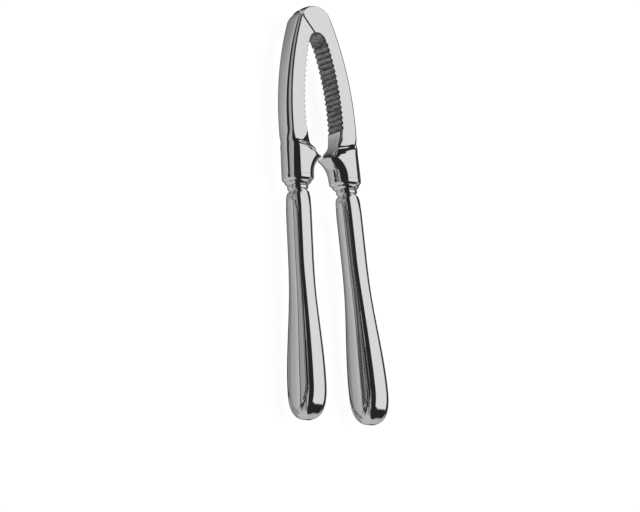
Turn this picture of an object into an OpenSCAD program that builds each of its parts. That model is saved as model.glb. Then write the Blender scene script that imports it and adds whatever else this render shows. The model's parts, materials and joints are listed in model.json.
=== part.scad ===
// Nutcracker: two toothed jaws on a box-joint hinge, each with a ferrule and a hollow handle.
// It lies flat on its handle ends. X runs across the jaws, Y towards the hinge, Z up.
// The origin is under the middle of the closed nutcracker. Everything is in millimetres.

/* [Overall] */
// Length from the handle ends to the top of the head
overall_l = 190; // [186:1:194]
// Sideways lean of each handle for each millimetre of length
splay = 0.039; // [0.037:0.001:0.042]

/* [Head] */
// Width across the two closed jaws
head_w = 38.2; // [37.6:0.1:38.4]
// Radius of the round top of the head
head_r = 10.2; // [9.8:0.1:10.4]
// Height on Y at which the jaws are widest and the teeth begin
head_wide_y = 38; // [37.5:0.1:38.5]
// Thickness of the jaws
jaw_t = 10.4; // [9.8:0.1:10.8]
// Width of the rounded outer edge, seen from the front
edge_w = 1.6; // [1.2:0.1:1.8]
// Depth of the rounded outer edge, along the thickness
edge_t = 3.1; // [2.4:0.1:3.4]

/* [Nut opening] */
// Widest clear width of the opening
open_w = 19.6; // [19:0.1:20]
// Height on Y of the top of the opening
open_top_y = 82; // [81:0.1:82.5]
// Radius of the round top of the opening
open_r = 4.4; // [4:0.1:5]
// Height on Y at which the opening is widest
open_wide_y = 42; // [41:0.5:44]
// Distance from one tooth to the next
tooth_pitch = 2.38; // [2.2:0.01:2.5]
// Number of teeth on each jaw
tooth_n = 17; // [12:1:17]
// Depth of the teeth
tooth_d = 0.85; // [0.5:0.05:1]

/* [Shoulder] */
// Thickness of the arm below the step
arm_t = 13; // [12.6:0.1:13.2]
// Width of the arm at its lower end
arm_w = 13.6; // [13.2:0.1:13.8]
// Height on Y of the lower end of the arm
arm_end_y = 16.5; // [16:0.1:17]
// Distance from the middle to the centre of the arm's lower end
arm_x = 13.4; // [13.3:0.05:13.5]
// Gap between the two closed noses
nose_gap = 0.2; // [0.1:0.05:0.4]

/* [Hinge] */
// Place of the pivot across the head
pivot_x = -3.77; // [-4:0.01:-3.5]
// Place of the pivot along the head
pivot_y = 89.5; // [89.2:0.1:89.8]
// Distance from the pivot to the straight seam between the jaws
seam_d = 2.8; // [2.6:0.05:2.9]
// Angle of the seam, down from X
seam_a = 50.9; // [49:0.1:52]
// Gap along the seam
seam_gap = 0.2; // [0.1:0.05:0.3]
// Diameter of the hinge pin
pin_d = 3.5; // [3:0.1:3.7]
// Clearance between the pin and the tongue, on the radius
pin_clear = 0.05; // [0.02:0.01:0.08]
// Thickness of the tongue
tongue_t = 4.1; // [3.6:0.1:4.4]
// Radius of the round end of the tongue
tongue_r = 3.7; // [3.4:0.1:3.75]
// Gap between the tongue and its slot on each side
slot_gap = 0.15; // [0.1:0.05:0.25]
// Widest opening angle
open_max = 28; // [20:1:30]

/* [Handles] */
// Width of a handle at its widest, front to back
handle_w = 18; // [17.6:0.1:18.4]
// Distance from the middle to the handle's centre line, at the arm's lower end
handle_x = 13.83; // [13.7:0.01:13.9]
// Thickness of a handle at its widest, side to side
handle_t = 13.1; // [12.8:0.1:13.4]
// Wall of the pressed handle shells
shell_wall = 0.8; // [0.6:0.1:1]
// Height on Y where the ferrule ends and the handle begins
handle_top_y = 8.8; // [8.6:0.1:9]
// Length of the ferrule's spigot inside the handle
spigot_l = 3.5; // [3:0.5:4.5]
// Length of the tang inside the handle
tang_l = 52; // [40:1:60]

/* [Hidden] */

top_y = overall_l / 2;
end_y = -overall_l / 2;
mid_z = handle_w / 2;
big = 60;
overlap = 1;
fit_gap = 0.05;
corner_n = 3;

// Radius of a long side arc that runs into a tip circle of radius r, centred at yc.
function side_r(half_w, wide_y, yc, r) =
    (half_w * half_w + pow(yc - wide_y, 2) - r * r) / (2 * (half_w - r));

head_c = top_y - head_r;
head_side_r = side_r(head_w / 2, head_wide_y, head_c, head_r);
// Direction, from the middle of the tip circle, of the point where the side arc meets it
head_join_a = atan2(head_c - head_wide_y, head_side_r - head_w / 2);

open_c = open_top_y - open_r;
open_side_r = side_r(open_w / 2, open_wide_y, open_c, open_r);
open_join_a = atan2(open_c - open_wide_y, open_side_r - open_w / 2);

// The step where the thin jaw becomes the thick arm
step_top_y = 32.3;
step_low_y = 29;
// Where the outer side turns from the jaw's thin edge to the arm's round one
side_top_y = 36.5;
side_low_y = 27.5;
// How far the step falls from the outer side to the inner one
step_slant = 2;
// Facet that falls towards the opening beside the step: heights on Y, the reach of each from the
// middle, and its slope
facet_ys = [24, 27.6, 31, 35.7];
facet_xs = [0, 10.4, 14.4, 9.9];
facet_slope = 0.21;
// Flat front face of the arm: its edges at the arm's lower end, and the outer one at the step
arm_face = [12.4, 15];
step_face_x = 15;
// Flat half heights of the arm's inner and outer sides at its lower end
arm_side = [1.5, 1.5];
// Where the noses of the two arms meet, and the flat half height there
nose_y = 25.2;
nose_flat = 0.8;
// How the arm's flat face widens inwards above its lower end, and how the cove and the arch bend
face_widen = 6.6;
face_bend = 1.8;
cove_bend = 1.5;
arch_bend = 0.7;
// Narrow rounding of the jaws' inner edges
inner_edge_w = 0.6;
inner_edge_t = 0.9;

pivot = [pivot_x, pivot_y];
pocket_r = tongue_r + 0.2;
slot_t = tongue_t + 2 * slot_gap;
// Direction in which the pivot is nearest the edge of the head
edge_a = atan2(pivot_y - head_c, pivot_x);
sweep_step = 7.5;
sweep_reach = 8;

// Half width and half thickness of the tang at the arm and at its end
tang_top = [2.1, 2.9];
tang_low = [1.3, 1.9];
tang_end_y = handle_top_y - tang_l;

// Mouldings of the ferrule: distance below its top, shift towards the middle, half width,
// half thickness
ferrule_rings = [[0, 0.43, 6.8, 6.5], [1.9, 0.4, 6.66, 6.42], [2.9, 0.3, 5.75, 5.62],
    [3.05, 0.25, 5.5, 5.5], [3.9, 0.2, 5.3, 5.3], [4.6, 0.12, 4.6, 4.62], [4.75, 0.05, 4.2, 4.15],
    [5.1, 0, 4.4, 4.4], [6.4, 0, 4.2, 4.3], [6.9, 0, 3.65, 3.9], [7.1, 0, 3.5, 3.95], [7.7, 0, 3.6, 4.55]];
ferrule_flat = 0.5;
ferrule_band_l = 2;

// Half sizes of the handle at its mouth and along its slender upper part
mouth_a = 3.6;
mouth_b = 4.6;
slender_a = 4.7;
slender_b = 5.2;
mouth_round_a = 3.6;
mouth_round_b = 9;
// Lengths of the rounded lower end, for the thickness and for the width
end_round_a = 13;
end_round_b = 15;
end_power_a = 2.9;
end_power_b = 2.2;
// Shares of the half width where the wide side's panel and its facet end, how far the facet
// falls at the handle's widest, and the share of the half thickness that is flat in front
panel_share = 0.36;
facet_share = 0.68;
facet_drop = 0.95;
face_share = 0.36;
// Where the handle begins to widen and to thicken, and over what lengths
swell_top_y = -20;
swell_l = 60;
thick_top_y = -32;
thick_l = 48;

// ---- Sections and lofts ----

// A smooth step from a to b while t goes from 0 to 1.
function ease(a, b, t) = let (u = min(1, max(0, t))) a + (b - a) * u * u * (3 - 2 * u);
function reversed(list) = [for (i = [len(list) - 1:-1:0]) list[i]];
function flipped(list) = [for (p = list) [p[0], -p[1]]];

// A quarter ellipse from a point on the side to a point on the face.
function corner(side, face) = [for (i = [0:corner_n]) let (a = 90 * i / corner_n)
    [face[0] + (side[0] - face[0]) * cos(a), side[1] + (face[1] - side[1]) * sin(a)]];

// A closed section with sides at xi and xo, its faces flat from fi at half thickness hi to fo
// at half thickness ho, and its sides flat up to half heights si and so.
function section(xi, xo, fi, fo, hi, ho, si, so) = let (
        outer = corner([xo, so], [fo, ho]),
        inner = reversed(corner([xi, si], [fi, hi])))
    concat(outer, inner, flipped(reversed(inner)), flipped(reversed(outer)));

// The centre line of the right ferrule, tang and handle.
function axis_x(y) = handle_x + splay * (arm_end_y - y);

// An even section about the centre line, a wide and b thick each way, flat out to fa and fb.
function even_section(y, a, b, fa, fb) = let (x = axis_x(y))
    section(x - a, x + a, x - fa, x + fa, b, b, fb, fb);

// A solid through sections of equal length, from the lowest y to the highest.
module loft(sections, ys) {
    n = len(sections[0]);
    m = len(ys);
    points = [for (j = [0:m - 1]) for (p = sections[j]) [p[0], ys[j], p[1]]];
    low = [for (i = [n - 1:-1:0]) i];
    high = [for (i = [0:n - 1]) (m - 1) * n + i];
    walls = [for (j = [0:m - 2]) for (i = [0:n - 1]) let (k = (i + 1) % n)
        [j * n + i, j * n + k, (j + 1) * n + k, (j + 1) * n + i]];
    polyhedron(points = points, faces = concat([low, high], walls));
}

// A flat piece, centred on the jaws' middle plane.
module slab(t) {
    translate([0, 0, -t / 2]) linear_extrude(t) children();
}

// ---- Head plate ----

// A disc with a rounded edge: a stretch of the head's side.
module edged_disc(r) {
    h = jaw_t / 2;
    edge = corner([r, h - edge_t], [r - edge_w, h]);
    rotate_extrude($fn = 360)
        polygon(concat([[0, -h]], flipped(reversed(edge)), edge, [[0, h]]));
}

// The plan below the two points where the side arcs meet the tip circle.
module below_tip() {
    side = big * [cos(head_join_a), sin(head_join_a)];
    polygon([[0, head_c], side + [0, head_c], [big, head_wide_y], [-big, head_wide_y],
        [-side[0], side[1] + head_c]]);
}

// The closed head above its widest place, without the nut opening.
module head_blank() {
    intersection() {
        translate([head_w / 2 - head_side_r, head_wide_y, 0]) edged_disc(head_side_r);
        translate([head_side_r - head_w / 2, head_wide_y, 0]) edged_disc(head_side_r);
        slab(jaw_t + overlap) below_tip();
    }
    difference() {
        translate([0, head_c, 0]) edged_disc(head_r);
        slab(jaw_t + 2 * overlap) below_tip();
    }
}

// Half width of the opening along its side arc.
function open_x(y) = open_w / 2 - open_side_r + sqrt(pow(open_side_r, 2) - pow(y - open_wide_y, 2));

// The plan of the nut opening: teeth up each side and a round top.
module opening() {
    teeth = [for (i = [0:tooth_n - 1]) let (y = head_wide_y + i * tooth_pitch)
        for (valley = [0, 1]) let (yv = y + valley * tooth_pitch / 2) [open_x(yv) + valley * tooth_d, yv]];
    tip = [for (a = [open_join_a:6:90]) [open_r * cos(a), open_c + open_r * sin(a)]];
    side = concat(teeth, tip, [[0, open_top_y]]);
    polygon(concat(side, [for (p = reversed(side)) [-p[0], p[1]]]));
}

// ---- Arm, from the widest place of the head down to the ferrule ----

arm_in = arm_x - arm_w / 2;
arm_out = arm_x + arm_w / 2;

// Inner side: a cove below the teeth, the round nose, and the arch under it.
function arm_inner(y) = let (
        g = nose_gap / 2,
        up = (head_wide_y - y) / (head_wide_y - nose_y),
        down = (nose_y - y) / (nose_y - arm_end_y))
    y >= nose_y ? g + (open_w / 2 - g) * sqrt(1 - pow(up, cove_bend)) :
    g + (arm_in - g) * sin(90 * pow(down, arch_bend));

function arm_section(y) = let (
        rise = (y - arm_end_y) / (step_low_y - arm_end_y),
        step = (step_top_y - y) / (step_top_y - step_low_y),
        xi = arm_inner(y),
        xo = head_w / 2 + (arm_out - head_w / 2) * (head_wide_y - y) / (head_wide_y - arm_end_y),
        face_low = arm_face[1] + (step_face_x - arm_face[1]) * min(1, rise),
        face_out = ease(head_w / 2 - edge_w, face_low, (side_top_y - y) / (side_top_y - side_low_y)),
        face_in = max(xi + inner_edge_w, arm_face[0] - face_widen * pow(max(0, rise), face_bend)),
        step_in = step - step_slant * (1 - face_in / step_face_x) / (step_top_y - step_low_y),
        fall = facet_slope * max(0, lookup(y, [for (i = [0:3]) [facet_ys[i], facet_xs[i]]]) - face_in),
        side_in = y >= nose_y ?
            ease(nose_flat, jaw_t / 2 - inner_edge_t, (y - nose_y) / (head_wide_y - nose_y)) :
            ease(arm_side[0], nose_flat, (y - arm_end_y) / (nose_y - arm_end_y)),
        side_out = ease(arm_side[1], jaw_t / 2 - edge_t, (y - arm_end_y) / (step_top_y - arm_end_y)))
    section(xi, xo, min(face_in, face_out - 1), face_out, ease(jaw_t, arm_t, step_in) / 2 - fall,
        ease(jaw_t, arm_t, step) / 2, side_in, side_out);

arm_ys = [for (i = [0:26]) arm_end_y + (head_wide_y - arm_end_y) * i / 26];

module tang(gap) {
    top = tang_top + [gap, gap];
    low = tang_low + [gap, gap];
    loft([for (end = [[tang_end_y - gap, low], [arm_end_y + overlap, top]])
        even_section(end[0], end[1][0], end[1][1], end[1][0] * 0.7, end[1][1] * 0.7)],
        [tang_end_y - gap, arm_end_y + overlap]);
}

// The right arm and its tang.
module arm() {
    loft([for (y = arm_ys) arm_section(y)], arm_ys);
    tang(0);
}

// ---- Hinge ----

// A point s along the seam from the foot of the pivot and d from the pivot towards the right jaw.
function seam_point(s, d) = pivot + s * [cos(seam_a), -sin(seam_a)] + d * [sin(seam_a), cos(seam_a)];
// How far along the seam the middle plane X = 0 lies.
function seam_middle(d) = (-pivot_x - d * sin(seam_a)) / cos(seam_a);

// Plan on one side of the seam and of the middle plane, drawn back by half the gap.
module beside_seam(side) {
    d = side * seam_gap / 2 - seam_d;
    far = seam_point(-sweep_reach * 2, d);
    polygon([far, seam_point(seam_middle(d), d), [0, 0], [side * big, 0], [side * big, far[1]]]);
}

// Plan that the seam edge of the left jaw sweeps over as it opens.
module seam_sweep() {
    translate(pivot) for (a = [0:sweep_step:open_max + 2])
        rotate(-seam_a - a) translate([-sweep_reach, seam_gap / 2 - seam_d - sweep_reach])
            square([2 * sweep_reach, sweep_reach]);
}

// Plan of the slot's mouth in the edge of the head, where the tongue turns.
module slot_mouth() {
    polygon(concat([pivot], [for (a = [edge_a - 35:15:edge_a + 85])
        pivot + sweep_reach * [cos(a), sin(a)]]));
}

module knuckle_slot() {
    translate([pivot_x, pivot_y, -slot_t / 2]) cylinder(r = pocket_r, h = slot_t, $fn = 96);
    slab(slot_t) slot_mouth();
}

module through_pivot(r, t) {
    translate([pivot_x, pivot_y, -t / 2]) cylinder(r = r, h = t, $fn = 64);
}

// ---- Ferrule, handle and filler: right-hand shapes ----

// How a size shrinks along a rounded end, for low from 0 to 1.
function rounded_end(low, power) = pow(max(0, 1 - pow(low, power)), 1 / power);

function handle_a(y) = let (
        body = ease(slender_a, handle_t / 2, (thick_top_y - y) / thick_l),
        mouth = min(1, max(0, (y - handle_top_y + mouth_round_a) / mouth_round_a)),
        low = min(1, max(0, (end_y + end_round_a - y) / end_round_a)))
    (mouth_a + (body - mouth_a) * sqrt(1 - mouth * mouth)) * rounded_end(low, end_power_a);

function handle_b(y) = let (
        body = ease(slender_b, handle_w / 2, (swell_top_y - y) / swell_l),
        mouth = min(1, max(0, (y - handle_top_y + mouth_round_b) / mouth_round_b)),
        low = min(1, max(0, (end_y + end_round_b - y) / end_round_b)))
    (mouth_b + (body - mouth_b) * (1 - mouth * mouth)) * rounded_end(low, end_power_b);

// The handle's section, drawn in by an inset on every side.
function handle_section(y, inset) = let (
        a = max(0.4, handle_a(y) - inset),
        b = max(0.4, handle_b(y) - inset),
        x = axis_x(y),
        facet = [a - min(facet_drop * b / mid_z, 0.3 * a), facet_share * b],
        rest = corner(facet, [face_share * a, b]),
        outer = [[a, panel_share * b], facet, rest[corner_n - 1], rest[corner_n]],
        inner = reversed([for (p = outer) [-p[0], p[1]]]),
        around = concat(outer, inner, flipped(reversed(inner)), flipped(reversed(outer))))
    [for (p = around) [x + p[0], p[1]]];

// Heights that crowd together towards both ends.
function crowded(low, high, n) = [for (i = [0:n]) (low + high) / 2 - (high - low) / 2 * cos(180 * i / n)];

module handle_solid(low, high, inset) {
    ys = crowded(low, high, 24);
    loft([for (y = ys) handle_section(y, inset)], ys);
}

// The half of a section on one side of the centre line: side 1 faces away from the other handle.
function half_section(y, side) = let (
        p = handle_section(y, 0),
        n = corner_n + 1,
        split = [[axis_x(y), p[corner_n][1]], [axis_x(y), -p[corner_n][1]]])
    side > 0 ? concat([for (i = [0:n - 1]) p[i]], split, [for (i = [3 * n:4 * n - 1]) p[i]]) :
    concat([split[0]], [for (i = [n:3 * n - 1]) p[i]], [split[1]]);

// One pressed half of the handle.
module handle_shell(side) {
    ys = crowded(end_y, handle_top_y, 24);
    difference() {
        loft([for (y = ys) half_section(y, side)], ys);
        handle_solid(end_y + shell_wall, handle_top_y + fit_gap, shell_wall);
    }
}

// The top band carries on the arm's own section, and the mouldings below it are even.
function ferrule_section(ring) = let (
        x = axis_x(arm_end_y - ring[0]) - ring[1],
        a = ring[2],
        b = ring[3],
        band = ring[0] < ferrule_band_l,
        face = band ? arm_face : [x - ferrule_flat * a, x + ferrule_flat * a],
        side = band ? arm_side : [ferrule_flat * b, ferrule_flat * b])
    section(x - a, x + a, face[0], face[1], b, b, side[0], side[1]);

module ferrule() {
    rings = reversed(ferrule_rings);
    ys = [for (r = rings) arm_end_y - r[0]];
    spigot_inset = shell_wall + fit_gap;
    spigot_ys = concat([for (i = [0:4]) handle_top_y - spigot_l * (1 - i / 4)],
        [handle_top_y + overlap]);
    difference() {
        union() {
            loft([for (i = [0:len(rings) - 1]) ferrule_section(rings[i])], ys);
            loft([for (y = spigot_ys) handle_section(min(y, handle_top_y), spigot_inset)], spigot_ys);
        }
        tang(fit_gap);
    }
}

module filler() {
    difference() {
        handle_solid(end_y + shell_wall + fit_gap, handle_top_y - spigot_l - fit_gap, shell_wall + fit_gap);
        tang(fit_gap);
    }
}

// Sets a piece at its height, and mirrors it for the left-hand side.
module placed(side) {
    translate([0, 0, mid_z]) mirror([side > 0 ? 0 : 1, 0, 0]) children();
}

// ---- Nodes ----

module right_jaw() {
    color("silver") placed(1) difference() {
        union() {
            intersection() {
                head_blank();
                slab(big) beside_seam(1);
            }
            arm();
        }
        slab(big) opening();
        slab(big) seam_sweep();
        knuckle_slot();
        through_pivot(pin_d / 2, big);
    }
}

module left_jaw() {
    color("silver") placed(1) difference() {
        union() {
            intersection() {
                head_blank();
                slab(big) beside_seam(-1);
            }
            mirror([1, 0, 0]) arm();
            through_pivot(tongue_r, tongue_t);
        }
        slab(big) opening();
        through_pivot(pin_d / 2 + pin_clear, big);
    }
}

module hinge_pin() {
    color("gainsboro") placed(1) through_pivot(pin_d / 2, jaw_t);
}

module right_ferrule() {
    color("gainsboro") placed(1) ferrule();
}

module left_ferrule() {
    color("gainsboro") placed(-1) ferrule();
}

module right_handle_outer_shell() {
    color("lightgray") placed(1) handle_shell(1);
}

module right_handle_inner_shell() {
    color("lightgray") placed(1) handle_shell(-1);
}

module left_handle_outer_shell() {
    color("lightgray") placed(-1) handle_shell(1);
}

module left_handle_inner_shell() {
    color("lightgray") placed(-1) handle_shell(-1);
}

module right_handle_filler() {
    color("tan") placed(1) filler();
}

module left_handle_filler() {
    color("tan") placed(-1) filler();
}

right_jaw();
left_jaw();
hinge_pin();
right_ferrule();
left_ferrule();
right_handle_outer_shell();
right_handle_inner_shell();
left_handle_outer_shell();
left_handle_inner_shell();
right_handle_filler();
left_handle_filler();
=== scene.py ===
"""Looks of the nutcracker: polished silver jaws, ferrules and patterned hollow handles.

Everything is drawn in millimetres about the jaws' middle plane (x across, y to the hinge, z up)
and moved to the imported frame, in metres, when its mesh is made.
"""
import json
import math

import bmesh
import bpy
import numpy as np
from mathutils import Matrix, Vector


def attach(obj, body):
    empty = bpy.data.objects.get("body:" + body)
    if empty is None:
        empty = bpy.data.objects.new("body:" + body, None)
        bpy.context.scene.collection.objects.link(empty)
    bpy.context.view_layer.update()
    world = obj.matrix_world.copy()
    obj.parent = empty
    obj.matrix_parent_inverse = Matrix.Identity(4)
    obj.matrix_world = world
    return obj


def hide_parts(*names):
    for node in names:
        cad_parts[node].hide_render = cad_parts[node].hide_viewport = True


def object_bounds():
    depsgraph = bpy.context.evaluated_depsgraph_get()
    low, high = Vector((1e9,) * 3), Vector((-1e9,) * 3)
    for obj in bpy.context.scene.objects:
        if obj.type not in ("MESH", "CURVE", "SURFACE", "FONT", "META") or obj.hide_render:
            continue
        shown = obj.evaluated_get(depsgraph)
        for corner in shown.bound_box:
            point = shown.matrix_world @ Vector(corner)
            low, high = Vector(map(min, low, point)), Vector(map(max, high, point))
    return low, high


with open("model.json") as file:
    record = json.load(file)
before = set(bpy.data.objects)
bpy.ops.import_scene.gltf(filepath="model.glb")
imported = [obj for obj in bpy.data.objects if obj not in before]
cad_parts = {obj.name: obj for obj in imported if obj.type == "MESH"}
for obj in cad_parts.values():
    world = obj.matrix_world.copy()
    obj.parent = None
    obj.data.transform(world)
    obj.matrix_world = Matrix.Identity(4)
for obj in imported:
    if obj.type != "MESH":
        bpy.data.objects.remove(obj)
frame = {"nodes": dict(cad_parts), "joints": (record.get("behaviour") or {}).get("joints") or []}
cad_low, cad_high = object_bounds()

MM = 0.001

# ---- Sizes, in millimetres ----

END_Y = cad_low.y / MM
TOP_Y = cad_high.y / MM
MID_Z = (cad_high.z - cad_low.z) / 2 / MM
PIVOT = np.array(frame["joints"][0]["pos_m"][:2]) / MM
OPEN_MAX = frame["joints"][0]["range_deg"][1]

# Head and nut opening. The head is widest at WIDE_Y, and its round top has its middle at HEAD_C
HEAD_HALF_W = 19.1
HEAD_R = 10.2
HEAD_C = TOP_Y - HEAD_R
WIDE_Y = 38.0
# Half the thickness of the jaws
JAW_H = 5.2
# Width of the rounded outer edge on the sides, and at the round top in front and behind
EDGE_W = 1.6
TIP_EDGE_FRONT, TIP_EDGE_BACK = 0.8, 6.5
# Turn round the top, in radians, over which the side's edge goes over to the top's
TIP_BLEND = 0.6
EDGE_POWER = 2.6
INNER_EDGE_W, INNER_EDGE_T = 0.6, 0.9
OPEN_HALF_W = 9.8
OPEN_WIDE_Y = 42.0
OPEN_R = 4.4
OPEN_TOP_Y = 82.0
OPEN_C = OPEN_TOP_Y - OPEN_R
TOOTH_PITCH = 2.38
TOOTH_N = 17
TOOTH_D = 0.85
# Rows of points along each tooth, round half of the top and along an arm
TOOTH_ROWS, TIP_ROWS, ARM_ROWS = 8, 40, 86
# Direction of the first row round the top, in radians
TIP_START_A = 0.03

# Arm and step. H is half the thickness, and the face and side values give where each is flat
ARM_END_Y = 16.5
ARM_H = 6.5
ARM_IN, ARM_OUT = 6.6, 20.2
ARM_FACE = (12.4, 15.0)
ARM_SIDE = (0.9, 0.9)
ARM_POWER = 2.2
STEP_FACE_X = 15.0
STEP_TOP_Y, STEP_LOW_Y = 32.3, 29.0
# How far the step falls from the outer side to the inner one
STEP_SLANT = 2.0
# Where the outer side turns from the jaw's thin edge to the arm's round one
SIDE_TOP_Y, SIDE_LOW_Y = 36.5, 27.5
# Facet that falls towards the opening beside the step: heights, reach from the middle, slope
STEP_FACET_YS, STEP_FACET_XS = (24.0, 27.6, 31.0, 35.7), (0.0, 10.4, 14.4, 9.9)
STEP_FACET_FALL = 0.21
NOSE_Y = 25.2
NOSE_FLAT = 0.8
NOSE_HALF_GAP = 0.1
# How the arm's flat face widens inwards above its lower end
FACE_WIDEN, FACE_BEND = 6.6, 1.8
FACE_LEAST_W = 1
# How the cove above the nose and the arch under it bend
COVE_BEND, ARCH_BEND = 1.5, 0.7

# Hinge. The seam is a straight line at SEAM_D from the pivot, at SEAM_A below the x axis
SEAM_D = 2.8
SEAM_A = math.radians(50.9)
SEAM_GAP = 0.2
SEAM_GROOVE_W, SEAM_GROOVE_D = 0.9, 0.5
PIN_R = 1.75
PIN_CLEAR = 0.05
PIN_HALF_L = 4.95
PIN_BEVEL = 0.25
PIN_POINTS = 64
TONGUE_R, TONGUE_H = 3.7, 2.05
POCKET_R, SLOT_H = 3.9, 2.2
# Directions from the pivot in which the slot is open, in degrees from the way to the head's edge
SLOT_MOUTH = (-35, 85)
SLOT_POINTS = 120
# Turn past the widest angle that is cut free as well, in degrees
SWEEP_SPARE = 2
SWEEP_STEPS = 12
# How far the cutters reach: from the pivot, across, down and to the front and back
REACH = 12.0
CUTTER_W, CUTTER_LOW_Y, CUTTER_H = 60, -20, 20
# How far a bevel's cutter stands above the face that it cuts
GROOVE_LIFT = 0.01

# Ferrule, tang and handle
AXIS_X = 13.83
SPLAY = 0.039
HANDLE_TOP_Y = 8.8
SHELL_WALL = 0.8
SPIGOT_L = 3.5
# The tang starts inside the arm. Half its sizes at the two ends, and the flat share of each
TANG_ROOT_Y, TANG_END_Y = ARM_END_Y + 1, HANDLE_TOP_Y - 52
TANG_TOP, TANG_LOW = (2.1, 2.9), (1.3, 1.9)
TANG_FLAT = 0.7
# Flat shares of the ferrule's spigot, on its faces and on its sides
SPIGOT_FACE_FLAT, SPIGOT_SIDE_FLAT = 0.6, 0.4
FIT_GAP = 0.05

SIDES = ((1, "right"), (-1, "left"))


def ease(a, b, t):
    """A smooth step from a to b while t goes from 0 to 1."""
    u = min(1.0, max(0.0, t))
    return a + (b - a) * u * u * (3 - 2 * u)


def side_radius(half_w, wide_y, centre_y, r):
    """Radius of a long side arc that runs into a tip circle of radius r."""
    return (half_w**2 + (centre_y - wide_y) ** 2 - r**2) / (2 * (half_w - r))


HEAD_SIDE_R = side_radius(HEAD_HALF_W, WIDE_Y, HEAD_C, HEAD_R)
OPEN_SIDE_R = side_radius(OPEN_HALF_W, OPEN_WIDE_Y, OPEN_C, OPEN_R)
HEAD_JOIN_A = math.atan2(HEAD_C - WIDE_Y, HEAD_SIDE_R - HEAD_HALF_W)
OPEN_JOIN_A = math.atan2(OPEN_C - OPEN_WIDE_Y, OPEN_SIDE_R - OPEN_HALF_W)


def axis_x(y):
    """Centre line of the right ferrule, tang and handle."""
    return AXIS_X + SPLAY * (ARM_END_Y - y)


# ---- Sections ----


def corner(side, face, n, power=2.0):
    """Points of a rounded corner from a point on the side to a point on the face."""
    angles = np.linspace(0, math.pi / 2, n + 1)
    c, s = np.cos(angles) ** (2 / power), np.sin(angles) ** (2 / power)
    return [(face[0] + (side[0] - face[0]) * p, side[1] + (face[1] - side[1]) * q) for p, q in zip(c, s)]


def between(a, b, n):
    """The points strictly between a and b that cut the line into n parts."""
    return [(a[0] + (b[0] - a[0]) * i / n, a[1] + (b[1] - a[1]) * i / n) for i in range(1, n)]


def section(xi, xo, fi, fo, h, si, so, power=2.0, outer_power=None, n=10):
    """A closed section: faces flat from fi to fo at +-h, sides flat up to +-si and +-so."""
    outer = corner((xo, so), (fo, h), n, outer_power or power)
    inner = corner((xi, si), (fi, h), n, power)[::-1]
    top = outer + between((fo, h), (fi, h), 6) + inner
    low = [(x, -z) for x, z in top[::-1]]
    return np.array(top + between((xi, si), (xi, -si), 5) + low + between((xo, -so), (xo, so), 4))


def tang_section(y, a, b, n=6):
    """The tang's section about the handle's centre line."""
    x, face, side = axis_x(y), TANG_FLAT * a, TANG_FLAT * b
    return section(x - a, x + a, x - face, x + face, b, side, side, n=n)


def round_pivot(r, angle):
    """The point at distance r from the pivot, in the given direction."""
    return PIVOT[0] + r * math.cos(angle), PIVOT[1] + r * math.sin(angle)


def mirrored(row):
    return [(-x, y, z) for x, y, z in row]


def on_side(rows, side):
    """Rows of the right half, mirrored if they are for the left one."""
    return rows if side > 0 else [mirrored(row) for row in rows]


# ---- Meshes ----


def clean(bm):
    """Joins doubled points and turns all faces outwards."""
    bmesh.ops.remove_doubles(bm, verts=bm.verts, dist=1e-4)
    bmesh.ops.dissolve_degenerate(bm, edges=bm.edges, dist=1e-5)
    bmesh.ops.recalc_face_normals(bm, faces=bm.faces)


def new_object(name, bm):
    mesh = bpy.data.meshes.new(name)
    bm.to_mesh(mesh)
    bm.free()
    obj = bpy.data.objects.new(name, mesh)
    bpy.context.scene.collection.objects.link(obj)
    return obj


def add_grid(bm, rows, closed=True):
    """Quads through rows of equal length. Returns the rows of vertices."""
    grid = [[bm.verts.new(p) for p in row] for row in rows]
    n = len(rows[0])
    for low, high in zip(grid, grid[1:]):
        for i in range(n if closed else n - 1):
            k = (i + 1) % n
            bm.faces.new((low[i], low[k], high[k], high[i]))
    return grid


def loft(name, rows):
    """A closed solid through rows of points, with flat ends."""
    bm = bmesh.new()
    grid = add_grid(bm, rows)
    bm.faces.new(grid[0][::-1])
    bm.faces.new(grid[-1])
    clean(bm)
    return new_object(name, bm)


def tube(name, outer, inner, closed=True):
    """A closed wall between an outer and an inner grid of the same size."""
    bm = bmesh.new()
    out_grid = add_grid(bm, outer, closed)
    in_grid = add_grid(bm, inner, closed)
    n = len(outer[0])
    for end in (0, -1):
        for i in range(n if closed else n - 1):
            k = (i + 1) % n
            bm.faces.new((out_grid[end][i], out_grid[end][k], in_grid[end][k], in_grid[end][i]))
    if not closed:
        for side in (0, -1):
            for j in range(len(outer) - 1):
                bm.faces.new((out_grid[j][side], out_grid[j + 1][side],
                              in_grid[j + 1][side], in_grid[j][side]))
    clean(bm)
    return new_object(name, bm)


def prism(name, plan, z_low, z_high):
    """A flat piece with the given plan."""
    return loft(name, [[(x, y, z) for x, y in plan] for z in (z_low, z_high)])


def disc(name, r, h, n=96):
    """A round piece about the pivot, of radius r and from -h to h."""
    return prism(name, [round_pivot(r, 2 * math.pi * i / n) for i in range(n)], -h, h)


def combine(target, tool, operation):
    """Applies one exact boolean to target and deletes the tool."""
    modifier = target.modifiers.new("cut", "BOOLEAN")
    modifier.object = tool
    modifier.operation = operation
    modifier.solver = "EXACT"
    bpy.context.view_layer.update()
    mesh = bpy.data.meshes.new_from_object(target.evaluated_get(bpy.context.evaluated_depsgraph_get()))
    target.modifiers.clear()
    target.data = mesh
    bpy.data.objects.remove(tool)


# ---- Head: one horseshoe, cut into two jaws along the seam ----


def open_x(y):
    """Half width of the nut opening, without its teeth."""
    return OPEN_HALF_W - OPEN_SIDE_R + math.sqrt(OPEN_SIDE_R**2 - (y - OPEN_WIDE_Y) ** 2)


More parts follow.
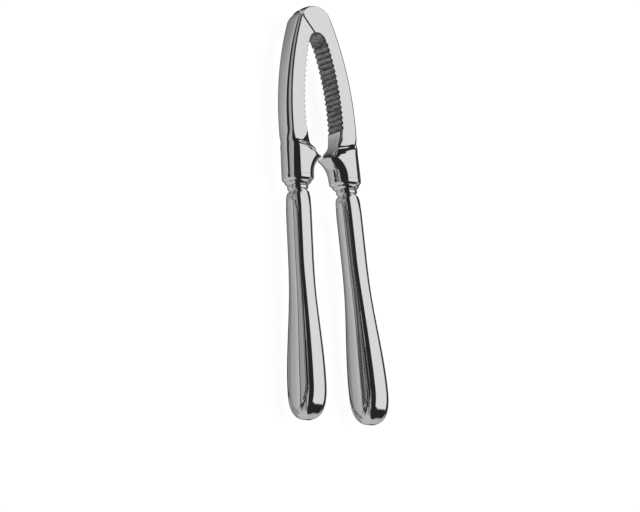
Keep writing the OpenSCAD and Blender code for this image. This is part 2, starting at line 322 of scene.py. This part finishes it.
def tooth_depth(y):
    """Depth of the V-shaped teeth: none at a crest, and most midway between two."""
    u = (y - WIDE_Y) / TOOTH_PITCH
    if not 0 <= u <= TOOTH_N:
        return 0.0
    from_crest = 2 * min(u % 1, 1 - u % 1)
    return TOOTH_D * from_crest


def head_side_x(y):
    """Half width of the head."""
    return HEAD_HALF_W - HEAD_SIDE_R + math.sqrt(HEAD_SIDE_R**2 - (y - WIDE_Y) ** 2)


def head_row(inner, outer, normal_a):
    """A row across the head from a point on the opening to a point on the outline."""
    inner, outer = np.array(inner), np.array(outer)
    length = np.linalg.norm(outer - inner)
    along = (outer - inner) / length
    lean = along @ np.array([math.cos(normal_a), math.sin(normal_a)])
    tip = (normal_a - HEAD_JOIN_A) / TIP_BLEND
    halves = []
    for tip_edge in (TIP_EDGE_FRONT, TIP_EDGE_BACK):
        face_end = length - ease(EDGE_W, tip_edge, tip) / lean
        halves.append(section(0, length, INNER_EDGE_W, face_end, JAW_H, JAW_H - INNER_EDGE_T, 0,
                              outer_power=EDGE_POWER))
    front, back = halves
    s = np.where(front[:, 1:] >= 0, front, back)
    return [(*(inner + along * q), z) for q, z in s]


def side_row(y):
    """A row across the jaw at height y, square to the middle."""
    normal_a = math.asin((y - WIDE_Y) / HEAD_SIDE_R)
    return head_row((open_x(y) + tooth_depth(y), y), (head_side_x(y), y), normal_a)


def tip_row(angle):
    """A row on the ray from the middle of the opening's round top."""
    c, s = math.cos(angle), math.sin(angle)
    y_in = OPEN_C + OPEN_R * s
    x_in = open_x(y_in) if angle < OPEN_JOIN_A else OPEN_R * c
    rise = HEAD_C - OPEN_C
    t = rise * s + math.sqrt(HEAD_R**2 - (rise * c) ** 2)
    normal_a = math.atan2(t * s - rise, t * c)
    if normal_a < HEAD_JOIN_A:
        cx, cy = HEAD_HALF_W - HEAD_SIDE_R, WIDE_Y - OPEN_C
        near = cx * c + cy * s
        t = near + math.sqrt(near**2 - cx**2 - cy**2 + HEAD_SIDE_R**2)
        normal_a = math.atan2(t * s - cy, t * c - cx)
    return head_row((x_in, y_in), (t * c, OPEN_C + t * s), normal_a)


def arm_inner(y):
    """Inner side: a cove below the teeth, the round nose, and the arch under it."""
    up = (WIDE_Y - y) / (WIDE_Y - NOSE_Y)
    down = (NOSE_Y - y) / (NOSE_Y - ARM_END_Y)
    if y >= NOSE_Y:
        return NOSE_HALF_GAP + (OPEN_HALF_W - NOSE_HALF_GAP) * math.sqrt(max(0, 1 - up**COVE_BEND))
    return NOSE_HALF_GAP + (ARM_IN - NOSE_HALF_GAP) * math.sin(math.pi / 2 * down**ARCH_BEND)


def arm_row(y):
    """A row across the arm at height y, with the step between the arm's and the jaw's thickness."""
    rise = (y - ARM_END_Y) / (STEP_LOW_Y - ARM_END_Y)
    step = (STEP_TOP_Y - y) / (STEP_TOP_Y - STEP_LOW_Y)
    xi = arm_inner(y)
    xo = HEAD_HALF_W + (ARM_OUT - HEAD_HALF_W) * (WIDE_Y - y) / (WIDE_Y - ARM_END_Y)
    face_x = ARM_FACE[1] + (STEP_FACE_X - ARM_FACE[1]) * min(1, rise)
    above = (y - SIDE_LOW_Y) / (SIDE_TOP_Y - SIDE_LOW_Y)
    face_out = ease(face_x, HEAD_HALF_W - EDGE_W, above)
    face_in = max(xi + INNER_EDGE_W, ARM_FACE[0] - FACE_WIDEN * max(0, rise) ** FACE_BEND)
    if y >= NOSE_Y:
        side_in = ease(NOSE_FLAT, JAW_H - INNER_EDGE_T, (y - NOSE_Y) / (WIDE_Y - NOSE_Y))
    else:
        side_in = ease(ARM_SIDE[0], NOSE_FLAT, (y - ARM_END_Y) / (NOSE_Y - ARM_END_Y))
    side_out = ease(ARM_SIDE[1], 0, (y - ARM_END_Y) / (STEP_TOP_Y - ARM_END_Y))
    s = section(xi, xo, min(face_in, face_out - FACE_LEAST_W), face_out, 1, side_in / ARM_H, side_out / ARM_H,
                ease(ARM_POWER, 2.0, above), ease(ARM_POWER, EDGE_POWER, above))
    reach = np.interp(y, STEP_FACET_YS, STEP_FACET_XS)
    row = []
    for x, z in s:
        late = STEP_SLANT * (1 - x / STEP_FACE_X) / (STEP_TOP_Y - STEP_LOW_Y)
        h = ease(JAW_H, ARM_H, step - late) - STEP_FACET_FALL * max(0, reach - x)
        row.append((x, y, z * h))
    return row


def horseshoe():
    """Both closed jaws in one, from the right arm's lower end round to the left one's."""
    arm_ys = np.linspace(ARM_END_Y, WIDE_Y, ARM_ROWS + 1)[:-1]
    tooth_row = TOOTH_PITCH / TOOTH_ROWS
    tooth_ys = WIDE_Y + tooth_row * np.arange(int((OPEN_C - WIDE_Y) / tooth_row) + 1)
    right = [arm_row(y) for y in arm_ys] + [side_row(y) for y in tooth_ys]
    right += [tip_row(a) for a in np.linspace(TIP_START_A, math.pi / 2, TIP_ROWS + 1)[:-1]]
    middle = tip_row(math.pi / 2)
    return loft("horseshoe", right + [middle] + on_side(right[::-1], -1))


def seam_point(s, d):
    """A point s along the seam from the pivot's foot and d from the pivot towards the right jaw."""
    return (PIVOT[0] + s * math.cos(SEAM_A) + d * math.sin(SEAM_A),
            PIVOT[1] - s * math.sin(SEAM_A) + d * math.cos(SEAM_A))


def beside_seam(side):
    """Cutter for all on one side of the seam and of the middle plane."""
    d = side * SEAM_GAP / 2 - SEAM_D
    to_middle = (-PIVOT[0] - d * math.sin(SEAM_A)) / math.cos(SEAM_A)
    far = seam_point(-2 * REACH, d)
    wide = side * CUTTER_W
    plan = [far, seam_point(to_middle, d), (0, CUTTER_LOW_Y), (wide, CUTTER_LOW_Y), (wide, far[1])]
    return prism("beside", plan, -CUTTER_H, CUTTER_H)


def seam_sweep():
    """Cutter for what the left jaw's edge passes through as it opens."""
    r = SEAM_D - SEAM_GAP / 2
    start = math.pi + math.pi / 2 - SEAM_A
    turn = math.radians(OPEN_MAX + SWEEP_SPARE)
    arc = [start - turn * i / SWEEP_STEPS for i in range(SWEEP_STEPS + 1)]
    plan = [round_pivot(r, a) for a in arc]
    for a in (arc[-1], arc[0]):
        x, y = round_pivot(r, a)
        plan.append((x + REACH * math.sin(a), y - REACH * math.cos(a)))
    return prism("sweep", plan, -CUTTER_H, CUTTER_H)


def knuckle_slot():
    """Cutter for the tongue's pocket and its mouth in the edge of the head."""
    edge_a = math.degrees(math.atan2(PIVOT[1] - HEAD_C, PIVOT[0]))
    plan = []
    for i in range(SLOT_POINTS):
        angle = 360 / SLOT_POINTS * i
        from_edge = (angle - edge_a + 180) % 360 - 180
        r = REACH if SLOT_MOUTH[0] <= from_edge <= SLOT_MOUTH[1] else POCKET_R
        plan.append(round_pivot(r, math.radians(angle)))
    return prism("slot", plan, -SLOT_H, SLOT_H)


def seam_groove(face):
    """Cutter for the bevels along the seam on the front (1) or back (-1) face."""
    ends = (seam_point(-REACH, -SEAM_D), seam_point(REACH, -SEAM_D))
    half = SEAM_GROOVE_W / 2 * np.array([math.sin(SEAM_A), math.cos(SEAM_A)])
    rows = []
    for end in np.array(ends):
        above, below = face * (JAW_H + GROOVE_LIFT), face * (JAW_H - SEAM_GROOVE_D)
        rows.append([(*(end - half), above), (*end, below), (*(end + half), above)])
    return loft("groove", rows)


def tang_rows():
    """Rows of the right tang at its two ends."""
    ends = ((TANG_END_Y, TANG_LOW), (TANG_ROOT_Y, TANG_TOP))
    return [[(x, y, z) for x, z in tang_section(y, a, b)] for y, (a, b) in ends]


# ---- Ferrule: mouldings that run from the arm's section to an even neck ----

# Each edge of the mouldings: its depth below the arm, its shift towards the middle, half its size
# side to side and front to back, and how far the curve from it to the next edge bulges.
FERRULE = (
    (0.0, 0.43, 6.80, 6.50, 0.0), (0.13, 0.43, 6.60, 6.30, 0.0), (0.28, 0.43, 6.78, 6.48, 0.0),
    (1.9, 0.40, 6.66, 6.42, 0.0), (2.1, 0.40, 6.50, 6.32, 0.0), (2.9, 0.30, 5.75, 5.62, 0.0),
    (3.05, 0.25, 5.40, 5.40, 0.22), (3.9, 0.20, 5.20, 5.22, 0.0), (4.6, 0.12, 4.60, 4.62, 0.0),
    (4.75, 0.05, 4.05, 4.00, 0.50), (6.9, 0.0, 3.65, 3.90, 0.0), (7.1, 0.0, 3.5, 3.95, 0.0),
    (7.7, 0.0, 3.62, 4.55, 0.0))
FERRULE_STEPS = 10
# The arm's section turns to an even one from the depth FERRULE_BAND, over FERRULE_ROUNDING
FERRULE_BAND = 1.9
FERRULE_ROUNDING = 1.4
# Flat share of the even section
FERRULE_FLAT = 0.2


def ferrule_row(depth, shift, a, b):
    y = ARM_END_Y - depth
    x = axis_x(y) - shift
    t = (depth - FERRULE_BAND) / FERRULE_ROUNDING
    face_in = ease(ARM_FACE[0], x - FERRULE_FLAT * a, t)
    face_out = ease(ARM_FACE[1], x + FERRULE_FLAT * a, t)
    side = ease(ARM_SIDE[0], FERRULE_FLAT * b, t)
    s = section(x - a, x + a, face_in, face_out, b, side, side, ease(ARM_POWER, 2.0, t))
    return [(px, y, pz) for px, pz in s]


def ferrule_rows():
    rows = []
    for low, high in zip(FERRULE, FERRULE[1:]):
        steps = FERRULE_STEPS if low[4] else 1
        for i in range(steps):
            t = i / steps
            depth, shift, a, b = (p + (q - p) * t for p, q in zip(low[:4], high[:4]))
            bulge = low[4] * math.sqrt(max(0, 1 - (2 * t - 1) ** 2))
            rows.append(ferrule_row(depth, shift, a + bulge, b + bulge))
    rows.append(ferrule_row(*FERRULE[-1][:4]))
    return rows


# ---- Handle ----

# Half sizes: A side to side and B front to back, at the widest, at the mouth and where it is slender.
# HANDLE_A is 0.02 under the CAD handle's, so that no point passes the CAD box.
HANDLE_A, HANDLE_B = 6.53, 9.0
MOUTH_A, MOUTH_B = 3.6, 4.6
MOUTH_L_A, MOUTH_L_B = 3.6, 9.0
SLENDER_A, SLENDER_B = 4.7, 5.2
# Where the handle starts to swell downwards, and over what length
SWELL_A_Y, SWELL_A_L = -32.0, 48.0
SWELL_B_Y, SWELL_B_L = -20.0, 60.0
# Length and power of the rounded lower end
END_ROUND_A, END_ROUND_B = 13.0, 15.0
END_POWER_A, END_POWER_B = 2.9, 2.2
# Flat share of the narrow faces, along the handle and at its mouth
FACE_SHARE, MOUTH_FACE_SHARE = 0.36, 0.2
# Wide side, as shares of the half width: where the panel ends and where the facet ends
PANEL_SHARE, FACET_SHARE = 0.36, 0.68
PANEL_DROP = 0.12
FACET_SLOPES = (math.radians(14), math.radians(22))
# Pattern on the wide sides: distance from the outline in parts of the half width, and depth
THREADS = ((0.0, 0.0), (0.16, 0.0), (0.18, 0.14), (0.195, 0.14), (0.215, -0.12), (0.235, -0.26),
           (0.255, -0.26), (0.275, -0.12), (0.295, 0.32), (0.325, 0.34), (0.345, 0.0))
# The pattern's outline ends at the height PATTERN_TOP_Y, and PATTERN_LOW_Y above the handle's lower
# end. It closes there over the lengths PATTERN_TOP_L and PATTERN_LOW_L.
PATTERN_TOP_Y, PATTERN_TOP_L = 7.3, 8.0
PATTERN_LOW_Y, PATTERN_LOW_L = 1.2, 13.0
SLOPE_STEP = 0.05
# Deepest that the pattern may cut, as a share of the half thickness there
SINK_SHARE = 0.6
# Points across the narrow face, the panel and the facet, and the corner; rows along the ends and between
FACE_POINTS, SIDE_POINTS, CORNER_POINTS = 5, 12, 24
END_ROWS, LONG_ROWS = 44, 89


def end_taper(y, length, power):
    """Share of its half size that the handle keeps where it rounds off at its lower end."""
    low = min(1, max(0, (END_Y + length - y) / length))
    return max(0, 1 - low**power) ** (1 / power)


def handle_a(y):
    """Half thickness of the handle, side to side."""
    body = ease(SLENDER_A, HANDLE_A, (SWELL_A_Y - y) / SWELL_A_L)
    mouth = min(1, max(0, (y - HANDLE_TOP_Y + MOUTH_L_A) / MOUTH_L_A))
    half = MOUTH_A + (body - MOUTH_A) * math.sqrt(1 - mouth**2)
    return half * end_taper(y, END_ROUND_A, END_POWER_A)


def handle_b(y):
    """Half width of the handle, front to back."""
    body = ease(SLENDER_B, HANDLE_B, (SWELL_B_Y - y) / SWELL_B_L)
    mouth = min(1, max(0, (y - HANDLE_TOP_Y + MOUTH_L_B) / MOUTH_L_B))
    half = MOUTH_B + (body - MOUTH_B) * (1 - mouth**2)
    return half * end_taper(y, END_ROUND_B, END_POWER_B)


def outline_b(y):
    """Half width of the pattern's outline, which closes in an arch at both ends of the handle."""
    top = min(1, max(0, (y - PATTERN_TOP_Y + PATTERN_TOP_L) / PATTERN_TOP_L))
    low = min(1, max(0, (END_Y + PATTERN_LOW_Y + PATTERN_LOW_L - y) / PATTERN_LOW_L))
    return handle_b(y) * math.sqrt(max(0, 1 - top**2)) * math.sqrt(max(0, 1 - low**2))


def relief(y, z):
    """Depth of the pattern below the wide side."""
    slope = (outline_b(y + SLOPE_STEP) - outline_b(y - SLOPE_STEP)) / (2 * SLOPE_STEP)
    inset = (outline_b(y) - abs(z)) / math.hypot(1, slope)
    scale = handle_b(y) / HANDLE_B
    if inset <= 0 or scale <= 0:
        return 0.0
    return scale * float(np.interp(inset / handle_b(y), *zip(*THREADS), right=0.0))


def wide_side(a, b, face):
    """The wide side from the centre line to the front face: panel, facet and rounded corner."""
    scale = b / HANDLE_B
    n = SIDE_POINTS
    points = [(a - PANEL_DROP * scale * (i / n) ** 2, PANEL_SHARE * b * i / n) for i in range(n + 1)]
    x, z = points[-1]
    step = (FACET_SHARE - PANEL_SHARE) * b / n
    for i in range(n):
        slope = FACET_SLOPES[0] + (FACET_SLOPES[1] - FACET_SLOPES[0]) * (i + 0.5) / n
        x, z = x - step * math.tan(slope), z + step
        points.append((x, z))
    return points + corner((x, z), (face, b), CORNER_POINTS)[1:]


def handle_half(y, side, inset, carved):
    """Half of the section at y, from the back seam round one wide side to the front seam."""
    a, b = max(0, handle_a(y) - inset), max(0, handle_b(y) - inset)
    face = a * ease(FACE_SHARE, MOUTH_FACE_SHARE, (y - HANDLE_TOP_Y + MOUTH_L_B) / MOUTH_L_B)
    quarter = [(face * i / FACE_POINTS, b) for i in range(FACE_POINTS)] + wide_side(a, b, face)[::-1]
    half = [(x, -z) for x, z in quarter] + quarter[-2::-1]
    x0 = axis_x(y)
    sink = [min(relief(y, z), SINK_SHARE * x) if carved else 0 for x, z in half]
    return [(x0 + side * (x - s), y, z) for (x, z), s in zip(half, sink)]


def handle_ys(low):
    """Heights along the handle, closer together at both rounded ends."""
    turns = [math.pi / 2 * i / END_ROWS for i in range(END_ROWS + 1)]
    end = [low + END_ROUND_A * (1 - math.cos(a)) for a in turns[:-1]]
    long = list(np.linspace(low + END_ROUND_A, HANDLE_TOP_Y - MOUTH_L_B, LONG_ROWS + 1)[:-1])
    return end + long + [HANDLE_TOP_Y - MOUTH_L_B * math.cos(a) for a in turns]


# ---- Materials ----


# Noise scales are per metre, and bump depths are in metres
HAZE_SCALE, HAIR_SCALE, TOOL_MARK_SCALE, GRAIN_SCALE = 900, 2600, 1500, 1200
# Hairlines run along y, and tool marks run along z
ALONG_Y, ALONG_Z = (1, 0.06, 1), (1, 1, 0.25)
HAZE_DARKEST = 0.96
HAIR_ROUGHER = 1.8
HAIR_STRENGTH, HAIR_DEPTH = 0.02, 0.00002


def node_material(name):
    """A new material with its nodes, links and shader."""
    material = bpy.data.materials.new(name)
    material.use_nodes = True
    nodes, links = material.node_tree.nodes, material.node_tree.links
    return material, nodes, links, nodes["Principled BSDF"]


def noise(nodes, links, coordinate, scale, detail=2.0, stretch=(1, 1, 1)):
    """A noise texture in object space, in metres, stretched along the axes."""
    mapping = nodes.new("ShaderNodeMapping")
    mapping.inputs["Scale"].default_value = stretch
    links.new(coordinate, mapping.inputs["Vector"])
    texture = nodes.new("ShaderNodeTexNoise")
    texture.inputs["Scale"].default_value = scale
    texture.inputs["Detail"].default_value = detail
    links.new(mapping.outputs["Vector"], texture.inputs["Vector"])
    return texture.outputs["Fac"]


def ramp(nodes, links, value, stops):
    """Colours or greys by value, from (position, colour) stops."""
    node = nodes.new("ShaderNodeValToRGB")
    elements = node.color_ramp.elements
    while len(elements) < len(stops):
        elements.new(0.5)
    for element, (position, colour) in zip(elements, stops):
        element.position = position
        element.color = (*colour, 1) if isinstance(colour, tuple) else (colour, colour, colour, 1)
    links.new(value, node.inputs["Fac"])
    return node.outputs["Color"]


def bump(nodes, links, height, strength, distance, under=None):
    """A normal from heights, on top of the normal under it if there is one."""
    node = nodes.new("ShaderNodeBump")
    node.inputs["Strength"].default_value = strength
    node.inputs["Distance"].default_value = distance
    links.new(height, node.inputs["Height"])
    if under is not None:
        links.new(under, node.inputs["Normal"])
    return node.outputs["Normal"]


def polished_metal(name, tone, roughness, wave, wave_scale=120, wave_depth=0.0004):
    """Hand-polished silver: soft waves, hairlines along the piece and a faint haze."""
    material, nodes, links, shader = node_material(name)
    at = nodes.new("ShaderNodeTexCoord").outputs["Object"]
    haze = noise(nodes, links, at, HAZE_SCALE, 3)
    links.new(ramp(nodes, links, haze, [(0.3, tuple(HAZE_DARKEST * t for t in tone)), (0.7, tone)]),
              shader.inputs["Base Color"])
    hairs = noise(nodes, links, at, HAIR_SCALE, 2, ALONG_Y)
    links.new(ramp(nodes, links, hairs, [(0.3, roughness), (0.75, roughness * HAIR_ROUGHER)]),
              shader.inputs["Roughness"])
    waves = noise(nodes, links, at, wave_scale, 1)
    soft = bump(nodes, links, waves, wave, wave_depth)
    links.new(bump(nodes, links, hairs, HAIR_STRENGTH, HAIR_DEPTH, soft), shader.inputs["Normal"])
    shader.inputs["Metallic"].default_value = 1.0
    return material


def toothed_metal():
    """The cut faces: duller, darker metal with tool marks across the teeth."""
    material, nodes, links, shader = node_material("cut_steel")
    at = nodes.new("ShaderNodeTexCoord").outputs["Object"]
    marks = noise(nodes, links, at, TOOL_MARK_SCALE, 3, ALONG_Z)
    links.new(ramp(nodes, links, marks, [(0.35, (0.12, 0.12, 0.13)), (0.65, (0.55, 0.55, 0.56))]),
              shader.inputs["Base Color"])
    links.new(ramp(nodes, links, marks, [(0.3, 0.34), (0.7, 0.5)]), shader.inputs["Roughness"])
    links.new(bump(nodes, links, marks, 0.35, 0.0001), shader.inputs["Normal"])
    shader.inputs["Metallic"].default_value = 1.0
    return material


def cement():
    """Grainy filler inside the handles."""
    material, nodes, links, shader = node_material("cement")
    at = nodes.new("ShaderNodeTexCoord").outputs["Object"]
    grains = noise(nodes, links, at, GRAIN_SCALE, 6)
    links.new(ramp(nodes, links, grains, [(0.35, (0.30, 0.25, 0.18)), (0.65, (0.50, 0.43, 0.33))]),
              shader.inputs["Base Color"])
    links.new(bump(nodes, links, grains, 0.4, 0.0002), shader.inputs["Normal"])
    shader.inputs["Roughness"].default_value = 0.85
    return material


SILVER = (0.93, 0.925, 0.93)
jaw_metal = polished_metal("polished_jaw", SILVER, 0.035, 0.05)
cut_metal = toothed_metal()
ferrule_metal = polished_metal("polished_ferrule", SILVER, 0.05, 0.5, 800, 0.0001)
handle_metal = polished_metal("polished_handle", SILVER, 0.05, 0.08)
pin_metal = polished_metal("polished_pin", (0.78, 0.78, 0.78), 0.08, 0.03)
cement_material = cement()

SHARP_ANGLE = math.radians(32)
# A jaw's face counts as cut up to CUT_REACH past the teeth's valleys or the opening's round top, and
# down to CUT_BELOW under the head's widest place, unless its normal's z reaches FLAT_NORMAL
CUT_REACH, CUT_BELOW, FLAT_NORMAL = 0.35, 0.2, 0.5


def finish_piece(obj, name, body, replaced, materials):
    """Moves a drawn piece to the frame, names it, gives it its body and materials, and hides the CAD part
    that it replaces.
    """
    obj.name = name
    obj.data.name = name
    obj.data.transform(Matrix.Translation((0, 0, MID_Z)))
    obj.data.transform(Matrix.Scale(MM, 4))
    obj.data.materials.clear()
    for material in materials:
        obj.data.materials.append(material)
    obj.data.polygons.foreach_set("use_smooth", [True] * len(obj.data.polygons))
    obj.data.set_sharp_from_angle(angle=SHARP_ANGLE)
    weighted = obj.modifiers.new("even_normals", "WEIGHTED_NORMAL")
    weighted.keep_sharp = True
    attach(obj, body)
    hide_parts(replaced)
    return obj


def mark_cut_faces(obj):
    """Gives the toothed faces of a jaw its second material."""
    for face in obj.data.polygons:
        x, y, z = face.center / MM
        if y < OPEN_C:
            near = abs(x) < open_x(max(y, WIDE_Y)) + TOOTH_D + CUT_REACH
        else:
            near = math.hypot(x, y - OPEN_C) < OPEN_R + CUT_REACH
        if near and y > WIDE_Y - CUT_BELOW and abs(face.normal.z) < FLAT_NORMAL:
            face.material_index = 1


# ---- Pieces ----


def make_jaws():
    """Both jaws, with their tangs. The right one has the slot and the left one the tongue."""
    whole = horseshoe()
    for side, name in SIDES:
        jaw = new_copy(whole)
        combine(jaw, beside_seam(side), "INTERSECT")
        combine(jaw, loft("tang", on_side(tang_rows(), side)), "UNION")
        if side > 0:
            combine(jaw, seam_sweep(), "DIFFERENCE")
            combine(jaw, knuckle_slot(), "DIFFERENCE")
            combine(jaw, disc("hole", PIN_R, PIN_HALF_L), "DIFFERENCE")
        else:
            combine(jaw, disc("tongue", TONGUE_R, TONGUE_H), "UNION")
            combine(jaw, disc("bore", PIN_R + PIN_CLEAR, PIN_HALF_L), "DIFFERENCE")
        for face in (1, -1):
            combine(jaw, seam_groove(face), "DIFFERENCE")
        finish_piece(jaw, name + "_jaw_polished", name + "_arm", name + "_jaw",
                     [jaw_metal, cut_metal])
        mark_cut_faces(jaw)
    bpy.data.objects.remove(whole)


def new_copy(obj):
    copy = obj.copy()
    copy.data = obj.data.copy()
    bpy.context.scene.collection.objects.link(copy)
    return copy


def make_pin():
    rows = []
    straight = PIN_HALF_L - PIN_BEVEL
    for z, r in ((-PIN_HALF_L, PIN_R - PIN_BEVEL), (-straight, PIN_R), (straight, PIN_R),
                 (PIN_HALF_L, PIN_R - PIN_BEVEL)):
        rows.append([(*round_pivot(r, 2 * math.pi * i / PIN_POINTS), z) for i in range(PIN_POINTS)])
    finish_piece(loft("pin", rows), "hinge_pin_polished", "right_arm", "hinge_pin", [pin_metal])


def make_ferrule(side, name):
    """A ferrule with its spigot, bored for the tang."""
    outer = ferrule_rows()
    spigot_a = MOUTH_A - SHELL_WALL - FIT_GAP
    spigot_b = MOUTH_B - SHELL_WALL - FIT_GAP
    for y in (HANDLE_TOP_Y, HANDLE_TOP_Y - SPIGOT_L):
        x = axis_x(y)
        flat_x, flat_z = SPIGOT_FACE_FLAT * spigot_a, SPIGOT_SIDE_FLAT * spigot_b
        s = section(x - spigot_a, x + spigot_a, x - flat_x, x + flat_x, spigot_b, flat_z, flat_z)
        outer.append([(px, y, pz) for px, pz in s])
    inner = []
    for row in outer:
        y = row[0][1]
        t = (y - TANG_END_Y) / (TANG_ROOT_Y - TANG_END_Y)
        a, b = (low + (top - low) * t + FIT_GAP for low, top in zip(TANG_LOW, TANG_TOP))
        inner.append([(px, y, pz) for px, pz in tang_section(y, a, b, 10)])
    finish_piece(tube("ferrule", on_side(outer, side), on_side(inner, side)), name + "_ferrule_moulded",
                 name + "_arm", name + "_ferrule", [ferrule_metal])


def make_shell(side, name, facing, facing_name):
    """One of a handle's two shells: facing 1 is away from the other handle and -1 towards it."""
    outer = [handle_half(y, facing, 0, True) for y in handle_ys(END_Y)]
    inner = [handle_half(y, facing, SHELL_WALL, False) for y in handle_ys(END_Y + SHELL_WALL)]
    shell = tube("shell", on_side(outer, side), on_side(inner, side), closed=False)
    finish_piece(shell, f"{name}_handle_{facing_name}_patterned", name + "_arm",
                 f"{name}_handle_{facing_name}_shell", [handle_metal])


def make_fillers():
    for name in ("right_handle_filler", "left_handle_filler"):
        filler = frame["nodes"][name]
        filler.data.materials.clear()
        filler.data.materials.append(cement_material)


# ---- Stage ----

CAMERA_DISTANCE = 3.4
CAMERA_CLIP = 50
CAMERA_LENS = 429.0
CAMERA_ROLL = math.radians(4.45)
CAMERA_BACK = Vector((-0.626, -0.212, 0.750)).normalized()
CAMERA_AIM = Vector((-0.0018, -0.0188))
FLOOR_HALF = 4.0


def make_camera():
    """A long lens that looks from the front left, and a little from the handles' end."""
    right = Vector((0, 1, 0)).cross(CAMERA_BACK).normalized()
    up = CAMERA_BACK.cross(right)
    image_right = math.cos(CAMERA_ROLL) * right - math.sin(CAMERA_ROLL) * up
    image_up = math.sin(CAMERA_ROLL) * right + math.cos(CAMERA_ROLL) * up
    data = bpy.data.cameras.new("camera")
    data.lens = CAMERA_LENS
    data.clip_end = CAMERA_CLIP
    camera = bpy.data.objects.new("camera", data)
    bpy.context.scene.collection.objects.link(camera)
    turn = Matrix((image_right, image_up, CAMERA_BACK)).transposed()
    place = Vector((0, 0, MID_Z * MM)) + CAMERA_BACK * CAMERA_DISTANCE
    place += image_right * CAMERA_AIM.x + image_up * CAMERA_AIM.y
    camera.matrix_world = Matrix.Translation(place) @ turn.to_4x4()
    bpy.context.scene.camera = camera


def make_floor():
    """A pale, glowing floor that the polished metal doesn't mirror."""
    bm = bmesh.new()
    for x, y in ((-1, -1), (1, -1), (1, 1), (-1, 1)):
        bm.verts.new((x * FLOOR_HALF, y * FLOOR_HALF, 0))
    bm.faces.new(bm.verts)
    floor = new_object("floor", bm)
    material, nodes, links, shader = node_material("pale_floor")
    shader.inputs["Base Color"].default_value = (0.9, 0.9, 0.9, 1)
    shader.inputs["Roughness"].default_value = 1.0
    shader.inputs["Specular IOR Level"].default_value = 0.0
    shader.inputs["Emission Color"].default_value = (1, 1, 1, 1)
    shader.inputs["Emission Strength"].default_value = 0.9
    floor.data.materials.append(material)
    floor.visible_glossy = False


# Brightness of the studio by direction round the Y axis: degrees from -X towards +Z, brightness.
# One list for the zone across the middle, one for the top end and one for the bottom end along Y.
STUDIO_ACROSS = ((-180, 0.08), (-128, 0.08), (-110, 0.14), (-85, 0.24), (-62, 0.34), (-52, 0.41),
                 (-43, 0.54), (-41, 0.02), (-26, 0.02), (-24, 0.32), (8, 0.42), (18, 0.42), (20, 0.02),
                 (98, 0.02), (103, 0.72), (142, 0.76), (145, 0.02), (172, 0.03), (180, 0.08))
STUDIO_TOP = ((-180, 0.02), (-115, 0.02), (-100, 0.12), (-80, 0.22), (-62, 0.30), (-43, 0.50),
              (-41, 0.02), (-26, 0.02), (-24, 0.24), (18, 0.36), (20, 0.02), (162, 0.02), (166, 0.70),
              (178, 0.70), (180, 0.02))
STUDIO_BOTTOM = ((-180, 0.45), (-60, 0.5), (-20, 0.5), (-5, 0.3), (10, 0.02), (160, 0.02), (172, 0.4),
                 (180, 0.45))
# Where along Y each end zone takes over from the middle one: y of the direction, share of the end zone
STUDIO_BOTTOM_LIMITS = ((-0.44, 1), (-0.38, 0))
STUDIO_TOP_LIMITS = ((0.44, 0), (0.52, 1))


def make_studio():
    """The world: white where the camera sees it, and the studio's brightness everywhere else."""
    world = bpy.data.worlds.new("studio")
    bpy.context.scene.world = world
    world.use_nodes = True
    nodes, links = world.node_tree.nodes, world.node_tree.links
    direction = nodes.new("ShaderNodeTexCoord").outputs["Generated"]
    split = nodes.new("ShaderNodeSeparateXYZ")
    links.new(direction, split.inputs["Vector"])

    def math_node(operation, a, b):
        node = nodes.new("ShaderNodeMath")
        node.operation = operation
        for socket, value in zip(node.inputs, (a, b)):
            if isinstance(value, (int, float)):
                socket.default_value = value
            else:
                links.new(value, socket)
        return node.outputs["Value"]

    left = math_node("MULTIPLY", split.outputs["X"], -1.0)
    angle = math_node("ARCTAN2", split.outputs["Z"], left)
    turn = math_node("MULTIPLY_ADD", angle, 1 / (2 * math.pi))
    turn.node.inputs[2].default_value = 0.5
    along = math_node("MULTIPLY_ADD", split.outputs["Y"], 0.5)
    along.node.inputs[2].default_value = 0.5
    light = ramp(nodes, links, turn, [(a / 360 + 0.5, v) for a, v in STUDIO_ACROSS])
    for zone, limits in ((STUDIO_TOP, STUDIO_TOP_LIMITS), (STUDIO_BOTTOM, STUDIO_BOTTOM_LIMITS)):
        mix = nodes.new("ShaderNodeMix")
        mix.data_type = "RGBA"
        links.new(ramp(nodes, links, along, [(y / 2 + 0.5, v) for y, v in limits]), mix.inputs["Factor"])
        links.new(light, mix.inputs["A"])
        links.new(ramp(nodes, links, turn, [(a / 360 + 0.5, v) for a, v in zone]), mix.inputs["B"])
        light = mix.outputs["Result"]
    seen = nodes.new("ShaderNodeMix")
    seen.data_type = "RGBA"
    links.new(nodes.new("ShaderNodeLightPath").outputs["Is Camera Ray"], seen.inputs["Factor"])
    links.new(light, seen.inputs["A"])
    seen.inputs["B"].default_value = (1, 1, 1, 1)
    links.new(seen.outputs["Result"], nodes["Background"].inputs["Color"])


bpy.context.scene.view_settings.view_transform = "Standard"
make_camera()
make_floor()
make_studio()
make_jaws()
make_pin()
for side, name in SIDES:
    make_ferrule(side, name)
    make_shell(side, name, 1, "outer")
    make_shell(side, name, -1, "inner")
make_fillers()
